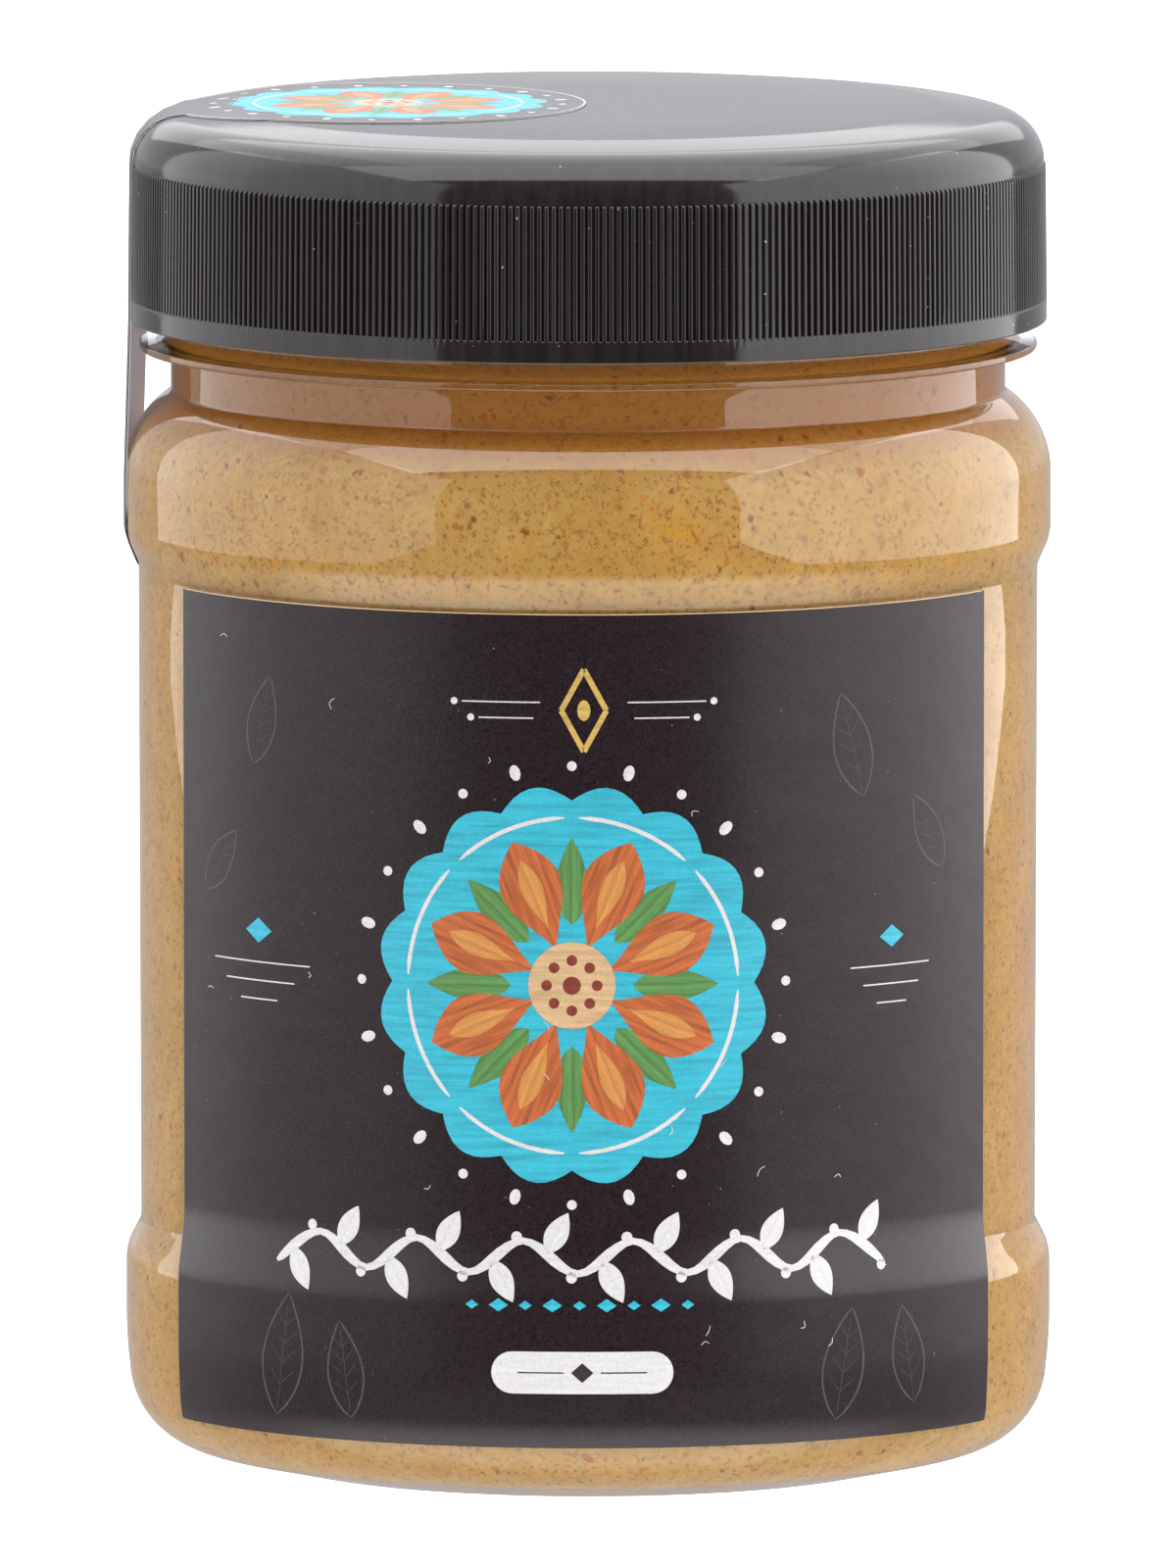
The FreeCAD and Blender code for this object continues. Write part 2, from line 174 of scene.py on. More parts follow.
def resampled(loop, step):
    """A closed loop with no side longer than step."""
    out = []
    for a, b in zip(loop, loop[1:] + loop[:1]):
        a, b = Vector(a), Vector(b)
        count = max(1, math.ceil((b - a).length / step))
        out += [tuple(a.lerp(b, k / count)) for k in range(count)]
    return out


def patch(loop, surface, step, top, bottom):
    """A thin closed shell over a flat outline, laid on a curved surface between two lifts."""
    rim = resampled([tuple(p) for p in loop], step)
    points = list(rim)
    edges = [(k, (k + 1) % len(rim)) for k in range(len(rim))]
    xs, ys = [p[0] for p in rim], [p[1] for p in rim]
    x = min(xs) + step * 0.5
    row = 0
    while x < max(xs):
        y = min(ys) + step * (0.5 if row % 2 else 1.0)
        while y < max(ys):
            if inside_loop(x, y, rim) and min((x - p[0]) ** 2 + (y - p[1]) ** 2 for p in rim) > (step * 0.45) ** 2:
                points.append((x, y))
            y += step
        x += step * 0.87
        row += 1
    flat, _, tris, *_ = delaunay_2d_cdt([Vector(p) for p in points], edges, [], 1, 1e-5)
    used = sorted({i for tri in tris for i in tri})
    index = {old: new for new, old in enumerate(used)}
    n = len(used)
    verts = [surface(flat[i][0], flat[i][1], top) for i in used]
    verts += [surface(flat[i][0], flat[i][1], bottom) for i in used]
    tris = [tuple(index[i] for i in tri) for tri in tris]
    faces = list(tris) + [tuple(i + n for i in reversed(tri)) for tri in tris]
    count = {}
    for tri in tris:
        for k in range(3):
            count[frozenset((tri[k], tri[k - 2]))] = count.get(frozenset((tri[k], tri[k - 2])), 0) + 1
    for tri in tris:
        for k in range(3):
            a, b = tri[k], tri[(k + 1) % 3]
            if count[frozenset((a, b))] == 1:
                faces.append((b, a, a + n, b + n))
    return verts, faces, [tuple(flat[i]) for i in used] * 2


def joined(parts):
    """Several (verts, faces, extra) as one."""
    verts, faces, extra = [], [], []
    for v, f, e in parts:
        faces += [tuple(i + len(verts) for i in face) for face in f]
        verts += v
        extra += e
    return verts, faces, extra


# ---------------------------------------------------------------- materials

def srgb(r, g, b):
    """Linear colour of 8-bit sRGB values."""
    return tuple((c / 255 / 12.92 if c <= 10 else ((c / 255 + 0.055) / 1.055) ** 2.4) for c in (r, g, b)) + (1,)


def new_material(name, **sockets):
    material = bpy.data.materials.new(name)
    material.use_nodes = True
    shader = material.node_tree.nodes["Principled BSDF"]
    for key, value in sockets.items():
        shader.inputs[key.replace("_", " ")].default_value = value
    return material, material.node_tree, shader


def add(tree, kind, inputs=None, **settings):
    node = tree.nodes.new(kind)
    for key, value in settings.items():
        setattr(node, key, value)
    for key, value in (inputs or {}).items():
        if isinstance(value, bpy.types.NodeSocket):
            tree.links.new(value, node.inputs[key])
        else:
            node.inputs[key].default_value = value
    return node


def place(tree, scale=(1, 1, 1)):
    """Object coordinates in millimetres, times scale."""
    coords = add(tree, "ShaderNodeTexCoord")
    return add(tree, "ShaderNodeMapping", {"Vector": coords.outputs["Object"], "Scale": [1000 * s for s in scale]}
               ).outputs["Vector"]


def math_node(tree, operation, a, b=0.0, c=0.0):
    return add(tree, "ShaderNodeMath", {0: a, 1: b, 2: c}, operation=operation).outputs[0]


def ramp(tree, value, *stops):
    """Colour ramp through (position, grey or colour) stops."""
    node = add(tree, "ShaderNodeValToRGB", {"Fac": value})
    node.color_ramp.interpolation = "LINEAR"
    while len(node.color_ramp.elements) < len(stops):
        node.color_ramp.elements.new(0.5)
    for element, (position, colour) in zip(node.color_ramp.elements, stops):
        element.position = position
        element.color = colour if hasattr(colour, "__len__") else (colour, colour, colour, 1)
    return node.outputs["Color"]


def mix(tree, factor, a, b, kind="MIX"):
    node = tree.nodes.new("ShaderNodeMix")
    node.data_type, node.blend_type = "RGBA", kind
    for socket, value in ((node.inputs[0], factor), (node.inputs[6], a), (node.inputs[7], b)):
        if isinstance(value, bpy.types.NodeSocket):
            tree.links.new(value, socket)
        else:
            socket.default_value = value
    return node.outputs[2]


def noise(tree, vector, scale, detail=3.0, rough=0.55):
    return add(tree, "ShaderNodeTexNoise", {"Vector": vector, "Scale": scale, "Detail": detail, "Roughness": rough})


def bump(tree, shader, height, strength, distance):
    node = add(tree, "ShaderNodeBump", {"Height": height, "Strength": strength, "Distance": distance})
    tree.links.new(node.outputs["Normal"], shader.inputs["Normal"])


def clear_plastic():
    """Clear jar wall, which lets light through in shadows."""
    material, tree, shader = new_material("pet", Base_Color=(0.985, 0.985, 0.99, 1), Roughness=0.015, IOR=1.575,
                                          Transmission_Weight=1.0)
    output = tree.nodes["Material Output"]
    path = add(tree, "ShaderNodeLightPath")
    through = add(tree, "ShaderNodeBsdfTransparent", {"Color": (0.93, 0.93, 0.94, 1)})
    either = add(tree, "ShaderNodeMixShader", {0: path.outputs["Is Shadow Ray"], 1: shader.outputs["BSDF"],
                                               2: through.outputs["BSDF"]})
    tree.links.new(either.outputs["Shader"], output.inputs["Surface"])
    return material


def specks(tree, vector, size, share, radius):
    """Mask and random value of irregular specks: size of a cell, share of cells, radius in cells."""
    cells = add(tree, "ShaderNodeTexVoronoi", {"Vector": vector, "Scale": 1 / size, "Randomness": 1.0})
    split = add(tree, "ShaderNodeSeparateColor", {"Color": cells.outputs["Color"]})
    chosen = math_node(tree, "LESS_THAN", split.outputs["Red"], share)
    reach = math_node(tree, "MULTIPLY_ADD", split.outputs["Green"], radius, radius * 0.35)
    near = math_node(tree, "SUBTRACT", reach, cells.outputs["Distance"])
    near = add(tree, "ShaderNodeMapRange", {"Value": near, "From Min": 0.0, "From Max": 0.1}).outputs["Result"]
    return math_node(tree, "MULTIPLY", near, chosen), split.outputs["Blue"]


def butter_material():
    """Nut paste: clouds, mottle, oily patches, an orange spot, painted shade under the lid and specks of skin."""
    material, tree, shader = new_material("almond_paste", Roughness=0.6, IOR=1.45, Specular_IOR_Level=0.05)
    here = place(tree)
    warp = noise(tree, here, 1.3, 2.0)
    bent = vector_add(tree, here, warp.outputs["Color"], 0.7)
    bent = vector_add(tree, bent, noise(tree, here, 4.2, 2.0).outputs["Color"], 0.45)
    cloud = noise(tree, here, 0.16, 4.0)
    colour = ramp(tree, cloud.outputs["Fac"], (0.30, (0.435, 0.257, 0.062, 1)), (0.5, (0.475, 0.290, 0.078, 1)),
                  (0.72, (0.50, 0.315, 0.100, 1)))
    mottle = noise(tree, here, 1.1, 5.0, 0.65)
    colour = mix(tree, ramp(tree, mottle.outputs["Fac"], (0.42, 0.0), (0.72, 0.40)), colour, (0.36, 0.19, 0.05, 1))
    pale = noise(tree, vector_add(tree, here, warp.outputs["Color"], 2.0), 0.55, 3.0)
    colour = mix(tree, ramp(tree, pale.outputs["Fac"], (0.50, 0.0), (0.75, 0.40)), colour, (0.62, 0.42, 0.16, 1))
    oil = noise(tree, bent, 0.35, 2.0)
    patches = ramp(tree, oil.outputs["Fac"], (0.60, 0.0), (0.70, 0.42))
    spot = add(tree, "ShaderNodeVectorMath", {0: bent, 1: (6.4, -34.0, 74.4)}, operation="DISTANCE").outputs["Value"]
    spot = add(tree, "ShaderNodeMapRange", {"Value": spot, "From Min": 3.6, "From Max": 0.6}).outputs["Result"]
    broken = ramp(tree, noise(tree, bent, 0.8, 3.0).outputs["Fac"], (0.40, 0.15), (0.60, 1.0))
    patches = math_node(tree, "MAXIMUM", patches, math_node(tree, "MULTIPLY", spot, broken))
    colour = mix(tree, math_node(tree, "MULTIPLY", patches, 0.8), colour, (0.60, 0.30, 0.025, 1))
    # Painted shade: darker, deeper amber paste from the shoulder's top up the neck, where the lid shades it.
    height = add(tree, "ShaderNodeSeparateXYZ", {"Vector": here}).outputs["Z"]
    lid_shade_mask = add(tree, "ShaderNodeMapRange", {"Value": height, "From Min": 77.8, "From Max": 80.4},
               interpolation_type="SMOOTHSTEP").outputs["Result"]
    shaded = mix(tree, mottle.outputs["Fac"], (0.47, 0.22, 0.050, 1), (0.35, 0.135, 0.020, 1))
    colour = mix(tree, lid_shade_mask, colour, shaded)
    for scale, low, tint, strength in ((2.9, 0.605, (124, 74, 36), 0.62), (1.9, 0.62, (166, 96, 40), 0.62),
                                       (1.2, 0.63, (134, 104, 68), 0.50)):
        fleck = noise(tree, bent, scale, 2.0, 0.5).outputs["Fac"]
        fleck = add(tree, "ShaderNodeMapRange", {"Value": fleck, "From Min": low, "From Max": low + 0.05})
        colour = mix(tree, math_node(tree, "MULTIPLY", fleck.outputs["Result"], strength), colour, srgb(*tint))
    crowd = ramp(tree, noise(tree, here, 0.42, 2.0).outputs["Fac"], (0.38, 0.5), (0.60, 1.0))
    for size, share, radius, strength in ((0.6, 0.5, 0.27, 0.75), (1.0, 0.42, 0.25, 0.9), (1.8, 0.35, 0.2, 0.95)):
        mask, random_value = specks(tree, bent, size, share, radius)
        tint = ramp(tree, random_value, (0.0, srgb(104, 58, 28)), (0.3, srgb(140, 76, 32)), (0.5, srgb(172, 88, 30)),
                    (0.68, srgb(128, 100, 62)), (0.85, srgb(196, 128, 30)), (1.0, srgb(152, 66, 26)))
        mask = math_node(tree, "MULTIPLY", mask, crowd)
        colour = mix(tree, math_node(tree, "MULTIPLY", mask, strength), colour, tint)
    tree.links.new(colour, shader.inputs["Base Color"])
    return material


def vector_add(tree, vector, colour, amount):
    centred = add(tree, "ShaderNodeVectorMath", {0: colour, 1: (0.5, 0.5, 0.5)}, operation="SUBTRACT").outputs[0]
    scaled = add(tree, "ShaderNodeVectorMath", {0: centred, "Scale": amount}, operation="SCALE").outputs[0]
    return add(tree, "ShaderNodeVectorMath", {0: vector, 1: scaled}, operation="ADD").outputs[0]


def lid_material():
    """Glossy black plastic with dust, a little duller on the ribs."""
    material, tree, shader = new_material("black_lid", Base_Color=srgb(24, 21, 21), Roughness=0.16, IOR=1.5)
    here = place(tree)
    plain = noise(tree, place(tree, (1, 1, 0.02)), 1.4, 2.0)
    colour = ramp(tree, plain.outputs["Fac"], (0.35, srgb(22, 18, 17)), (0.65, srgb(32, 28, 27)))
    for size, share, radius in ((1.1, 0.30, 0.08), (2.3, 0.35, 0.04), (5.0, 0.35, 0.03)):
        dust, _ = specks(tree, here, size, share, radius)
        colour = mix(tree, dust, colour, srgb(176, 172, 168))
    tree.links.new(colour, shader.inputs["Base Color"])
    fine = noise(tree, here, 2.5, 3.0)
    rough = ramp(tree, fine.outputs["Fac"], (0.3, 0.075), (0.7, 0.125))
    tree.links.new(rough, shader.inputs["Roughness"])
    height = add(tree, "ShaderNodeSeparateXYZ", {"Vector": here}).outputs["Z"]
    ribs = math_node(tree, "COMPARE", height, (KNURL_LOW + KNURL_HIGH) / 2, (KNURL_HIGH - KNURL_LOW) / 2)
    tree.links.new(math_node(tree, "MULTIPLY_ADD", ribs, -0.04, 0.5), shader.inputs["Specular IOR Level"])
    return material


def film_material(name, colour, roughness, grain=0.5):
    """Printed satin film: its colour with a fine print grain, and a soft bump."""
    material, tree, shader = new_material(name, Roughness=roughness, IOR=1.49, Specular_IOR_Level=0.5)
    here = place(tree)
    dots = noise(tree, here, 5.5, 2.0, 0.7)
    dark = tuple(c * (1 - grain) for c in colour[:3]) + (1,)
    light = tuple(min(1, c * (1 + grain)) for c in colour[:3]) + (1,)
    tone = ramp(tree, dots.outputs["Fac"], (0.32, dark), (0.68, light))
    for size, share, radius in ((0.9, 0.20, 0.07), (2.7, 0.25, 0.035)):
        fleck, _ = specks(tree, here, size, share, radius)
        tone = mix(tree, math_node(tree, "MULTIPLY", fleck, 0.8), tone, srgb(170, 158, 160))
    tree.links.new(tone, shader.inputs["Base Color"])
    wave = noise(tree, here, 0.22, 2.0)
    bump(tree, shader, wave.outputs["Fac"], 0.12, 0.0004)
    return material


# ---------------------------------------------------------------- jar, filling

PET = clear_plastic()
jar_profile = OUTSIDE[:-1] + rounded([(0, 0), (NECK - NECK_WALL, RIM), *inside(0)[::-1]])[1:]
verts, faces = lathe(subdivided(jar_profile, 6), 288)
piece("jar_wall", verts, faces, PET, "jar")

paste = rounded([*inside(0.05), (NECK - NECK_WALL + 0.05, FILL - 1), (NECK - NECK_WALL - 0.6, FILL), (0, FILL - 0.3)])
verts, faces = lathe(subdivided(paste, 4), 288)
piece("paste", verts, faces, butter_material(), "almond_butter")

# ---------------------------------------------------------------- lid


def lid_mesh():
    """Ribbed cap: rows of rings with the ribs as their relief."""
    phases = [(0.0, 0.12), (0.1, 0.0), (0.42, 0.0), (0.52, 0.12), (0.68, 1.0), (0.84, 1.0)]
    columns = [(k + phase, depth) for k in range(RIBS) for phase, depth in phases]
    depth_mm = 0.3

    def side_radius(z):
        t = (z - KNURL_LOW) / (LID_TOP - KNURL_LOW)
        return LID_FOOT_R + (LID_TOP_R - LID_FOOT_R) * max(0, t)

    low, high = KNURL_LOW, KNURL_HIGH
    tip = side_radius(high)
    rows = [(LID_BORE, LID_FOOT + 0.25, 0), (LID_BORE + 0.12, LID_FOOT + 0.03, 0), (LID_BORE + 0.3, LID_FOOT, 0),
            (LID_FOOT_R - 0.3, LID_FOOT, 0), (LID_FOOT_R - 0.09, LID_FOOT + 0.03, 0),
            (LID_FOOT_R, LID_FOOT + 0.15, 0), (LID_FOOT_R, LID_FOOT + 0.9, 0), (LID_FOOT_R, low - 0.2, 0),
            (LID_FOOT_R, low - 0.13, 0.06), (LID_FOOT_R, low - 0.06, 0.24), (LID_FOOT_R, low - 0.01, 0.62),
            (LID_FOOT_R, low, 1)]
    rows += [(side_radius(z), z, 1) for z in (low + 1.5, low + 4, low + 7, high - 0.5, high - 0.17)]
    rows += [(tip - 0.02, high - 0.09, 1), (tip - 0.06, high - 0.02, 0.9), (tip - 0.11, high + 0.02, 0.3),
             (tip - 0.12, high + 0.08, 0)]
    edge = rounded([(tip - 0.12, high), (LID_TOP_R - 0.1, LID_EDGE, EDGE_ROUND - 0.1), (FACE_R, LID_TOP)], 4.0)
    rows += [(p[0], p[1], 0) for p in edge[1:-1] if p[1] > high + 0.2]
    rows += [(FACE_R + 0.15, LID_TOP - 0.012, 0), (FACE_R - 0.05, LID_TOP, 0), (14, LID_TOP, 0)]
    verts, faces, n = [], [], len(columns)
    for r, z, amount in rows:
        for column, depth in columns:
            a = 2 * math.pi * column / RIBS
            radius = r - depth * depth_mm * amount
            verts.append((radius * math.cos(a), radius * math.sin(a), z))
    for i in range(len(rows) - 1):
        for k in range(n):
            j = (k + 1) % n
            faces.append((i * n + k, i * n + j, (i + 1) * n + j, (i + 1) * n + k))
    last = (len(rows) - 1) * n
    verts.append((0, 0, LID_TOP))
    faces += [(last + k, last + (k + 1) % n, len(verts) - 1) for k in range(n)]
    roof = len(verts)
    verts += [(LID_BORE * math.cos(2 * math.pi * c / RIBS), LID_BORE * math.sin(2 * math.pi * c / RIBS), RIM)
              for c, _ in columns]
    verts.append((0, 0, RIM))
    faces += [(roof + k, roof + (k + 1) % n, (k + 1) % n, k) for k in range(n)]
    faces += [(roof + (k + 1) % n, roof + k, len(verts) - 1) for k in range(n)]
    return verts, faces


verts, faces = lid_mesh()
piece("cap", verts, faces, lid_material(), "lid", sharp=32)

# ---------------------------------------------------------------- front label

label_outside = rounded([(STAND, 0 - LABEL_FILM), *side(LABEL_FILM)[:-1], (PANEL + LABEL_FILM, LABEL_BRIDGE, 8),
                         (PANEL_TOP + LABEL_FILM, LABEL_TOP)], 1.5)
label_outside = subdivided([p for p in label_outside if p[0] > 30], 2.0)


def label_surface(u, z, lift):
    """Point on the label's face: u millimetres along its width, height z, lifted off the face."""
    for low, high in zip(label_outside, label_outside[1:]):
        if low[1] <= z <= high[1] or high is label_outside[-1]:
            break
    along = (high - low).normalized()
    spot = low.lerp(high, (z - low[1]) / (high[1] - low[1]))
    r, z = spot[0] + along[1] * lift, spot[1] - along[0] * lift
    a = (-90 + LABEL_TURN) * DEG + u / spot[0]
    return (r * math.cos(a), r * math.sin(a), z)


def rounded_box(x0, y0, x1, y1, r, steps=6):
    loop = []
    for cx, cy, start in ((x1 - r, y1 - r, 0), (x0 + r, y1 - r, 90), (x0 + r, y0 + r, 180), (x1 - r, y0 + r, 270)):
        turns = [(start + 90 * k / steps) * DEG for k in range(steps + 1)]
        loop += [(cx + r * math.cos(a), cy + r * math.sin(a)) for a in turns]
    return loop


def label_film():
    half = LABEL_ANGLE / 2 * DEG * LABEL_R
    ends = [LABEL_CORNER * d for d in (0, 0.05, 0.2, 0.5, 1.0)]
    rows = sorted({round(p[1], 4) for p in label_outside if LABEL_FOOT < p[1] < LABEL_TOP}
                  | {LABEL_FOOT + d for d in ends} | {LABEL_TOP - d for d in ends})
    columns, verts, faces = 160, [], []
    for lift in (0.0, -LABEL_FILM - 0.02):
        for z in rows:
            d = 1 - min(z - LABEL_FOOT, LABEL_TOP - z, LABEL_CORNER) / LABEL_CORNER
            reach = half - LABEL_CORNER * (1 - math.sqrt(1 - d * d))
            verts += [label_surface(reach * (2 * k / columns - 1), z, lift) for k in range(columns + 1)]
    m, n = columns + 1, len(rows)
    top = lambda i, k: i * m + k
    low = lambda i, k: (n + i) * m + k
    for i in range(n - 1):
        for k in range(columns):
            faces.append((top(i, k), top(i, k + 1), top(i + 1, k + 1), top(i + 1, k)))
            faces.append((low(i, k), low(i + 1, k), low(i + 1, k + 1), low(i, k + 1)))
        faces.append((low(i, 0), top(i, 0), top(i + 1, 0), low(i + 1, 0)))
        faces.append((top(i, columns), low(i, columns), low(i + 1, columns), top(i + 1, columns)))
    for k in range(columns):
        faces.append((low(0, k), low(0, k + 1), top(0, k + 1), top(0, k)))
        faces.append((top(n - 1, k), top(n - 1, k + 1), low(n - 1, k + 1), low(n - 1, k)))
    return verts, faces


verts, faces = label_film()
piece("label_film", verts, faces, film_material("label_dark", (0.0108, 0.0046, 0.0072, 1), 0.32, 0.85),
      "front_label")


# ---------------------------------------------------------------- print: flat shapes in millimetres


def turned(points, x, y, degrees=0.0):
    """Points turned about the origin, then moved to (x, y)."""
    c, s = math.cos(degrees * DEG), math.sin(degrees * DEG)
    return [(x + c * px - s * py, y + s * px + c * py) for px, py in points]


def ellipse(rx, ry, count=20):
    return [(rx * math.cos(2 * math.pi * k / count), ry * math.sin(2 * math.pi * k / count)) for k in range(count)]


def leaf(length, width, belly=0.5, count=14):
    """Pointed oval from (0, 0) along +X, widest at belly."""
    skew = math.log(0.5) / math.log(belly)
    rise = [(length * k / count, width / 2 * math.sin(math.pi * (k / count) ** skew) ** 0.9)
            for k in range(count + 1)]
    return rise + [(x, -y) for x, y in rise[-2:0:-1]]


def lozenge(width, height):
    return [(width / 2, 0), (0, height / 2), (-width / 2, 0), (0, -height / 2)]


def smooth_path(points, steps=8):
    """Catmull-Rom curve through points."""
    ends = [points[0], *points, points[-1]]
    out = []
    for a, b, c, d in zip(ends, ends[1:], ends[2:], ends[3:]):
        for k in range(steps):
            t = k / steps
            out.append(tuple(0.5 * (2 * q + (r - p) * t + (2 * p - 5 * q + 4 * r - w) * t * t
                                    + (3 * q - p - 3 * r + w) * t ** 3) for p, q, r, w in zip(a, b, c, d)))
    return out + [tuple(points[-1])]


def stroke(points, width, tip=0.35):
    """Outline of a pen stroke along points: width is a number or a function of the share of its length."""
    wide = width if callable(width) else (lambda t: width)
    left, right = [], []
    n = len(points) - 1
    for k, point in enumerate(points):
        a, b = Vector(points[max(0, k - 1)]), Vector(points[min(n, k + 1)])
        along = (b - a).normalized()
        half = wide(k / n) / 2 * (tip if k in (0, n) else 1)
        left.append((point[0] - along.y * half, point[1] + along.x * half))
        right.append((point[0] + along.y * half, point[1] - along.x * half))
    return left + right[::-1]


def arc(radius, start, end, count):
    return [(radius * math.cos((start + (end - start) * k / count) * DEG),
             radius * math.sin((start + (end - start) * k / count) * DEG)) for k in range(count + 1)]


def scallops(radius, depth, count, steps=9):
    """Round outline with outward scallops."""
    n = count * steps
    return [((radius + depth * abs(math.sin(math.pi * k / steps))) * math.cos(2 * math.pi * k / n),
             (radius + depth * abs(math.sin(math.pi * k / steps))) * math.sin(2 * math.pi * k / n)) for k in range(n)]


def decal(name, shapes, surface, lift, material, step=0.7, sunk=0.03):
    """Ink: thin shells over (loop, frame) shapes; frame = (x, y, degrees) gives each its own coordinates."""
    parts = []
    for loop, (x, y, degrees) in shapes:
        verts, faces, flat = patch(turned(loop, x, y, degrees), surface, step, lift, lift - sunk)
        c, s = math.cos(degrees * DEG), math.sin(degrees * DEG)
        parts.append((verts, faces, [(c * (u - x) + s * (v - y), c * (v - y) - s * (u - x)) for u, v in flat]))
    verts, faces, flat = joined(parts)
    return piece(name, verts, faces, material, local=[(u / 10, v / 10) for u, v in flat])


def ink(name, colour, spread=0.12):
    """Printed ink with brushed streaks along its own X; spread is how strong they are."""
    material, tree, shader = new_material(name, Roughness=0.4, IOR=1.49)
    flat = add(tree, "ShaderNodeUVMap", uv_map="flat").outputs["UV"]
    bent = add(tree, "ShaderNodeMapping", {"Vector": flat, "Scale": (0.9, 14.0, 1)}).outputs["Vector"]
    lines = noise(tree, bent, 1.6, 3.0, 0.6)
    dark = tuple(c * (1 - spread * 2) for c in colour[:3]) + (1,)
    light = tuple(min(1, c * (1 + spread) + 0.02 * spread) for c in colour[:3]) + (1,)
    tone = ramp(tree, lines.outputs["Fac"], (0.34, dark), (0.52, colour + (1,)), (0.70, light))
    dots = ramp(tree, noise(tree, place(tree), 4.5, 2.0, 0.7).outputs["Fac"], (0.35, 0.87), (0.65, 1.0))
    tree.links.new(mix(tree, 1.0, tone, dots, "MULTIPLY"), shader.inputs["Base Color"])
    return material


INKS = {"cyan": ink("ink_cyan", (0.016, 0.325, 0.425)), "orange": ink("ink_orange", (0.38, 0.088, 0.018), 0.2),
        "amber": ink("ink_amber", (0.46, 0.19, 0.04), 0.16), "cream": ink("ink_cream", (0.48, 0.31, 0.16)),
        "green": ink("ink_green", (0.075, 0.20, 0.05), 0.22), "white": ink("ink_white", (0.49, 0.475, 0.48), 0.04),
        "rust": ink("ink_rust", (0.17, 0.024, 0.012)), "dark": ink("ink_dark", (0.026, 0.016, 0.02), 0.1),
        "yellow": ink("ink_yellow", (0.44, 0.29, 0.07)), "faint": ink("ink_faint", (0.052, 0.038, 0.046), 0.1)}


def rosette(prefix, surface, x, y, size, lifts):
    """Generic round ornament: scalloped disc, petals, leaves and a dotted centre; size scales it."""
    def at(loop, degrees=0.0, out=0.0):
        place_x, place_y = x + out * size * math.cos(degrees * DEG), y + out * size * math.sin(degrees * DEG)
        return [(a * size, b * size) for a, b in loop], (place_x, place_y, degrees)

    spokes = [45 * k + 22.5 for k in range(8)]
    between = [45 * k for k in range(8)]
    decal(prefix + "_disc", [at(scallops(14.0, 1.2, 16))], surface, lifts[0], INKS["cyan"])
    decal(prefix + "_ring", [at(stroke(arc(12.7, d + 2.5, d + 42.5, 10), 0.32)) for d in between], surface, lifts[1],
          INKS["white"])
    decal(prefix + "_leaves", [at(leaf(6.6, 2.5, 0.42), d, 4.6) for d in between], surface, lifts[1], INKS["green"])
    decal(prefix + "_petals", [at(leaf(8.8, 4.7, 0.6), d, 2.9) for d in spokes], surface, lifts[2], INKS["orange"])
    decal(prefix + "_flames", [at(leaf(5.6, 1.7, 0.6), d, 4.6) for d in spokes], surface, lifts[3], INKS["amber"])
    decal(prefix + "_heart", [at(ellipse(3.3, 3.3, 28))], surface, lifts[3], INKS["cream"])
    decal(prefix + "_seeds", [at(ellipse(0.42, 0.42, 10), d, 1.9) for d in between] + [at(ellipse(0.7, 0.7, 12))],
          surface, lifts[4], INKS["rust"])
    decal(prefix + "_drops", [at(ellipse(*((0.62, 0.42) if k % 2 else (0.38, 0.38)), 10), 15 * k, 16.6)
                              for k in range(24)], surface, lifts[1], INKS["white"])


rosette("print", label_surface, -0.5, 40.0, 1.0, PRINT_LIFTS)


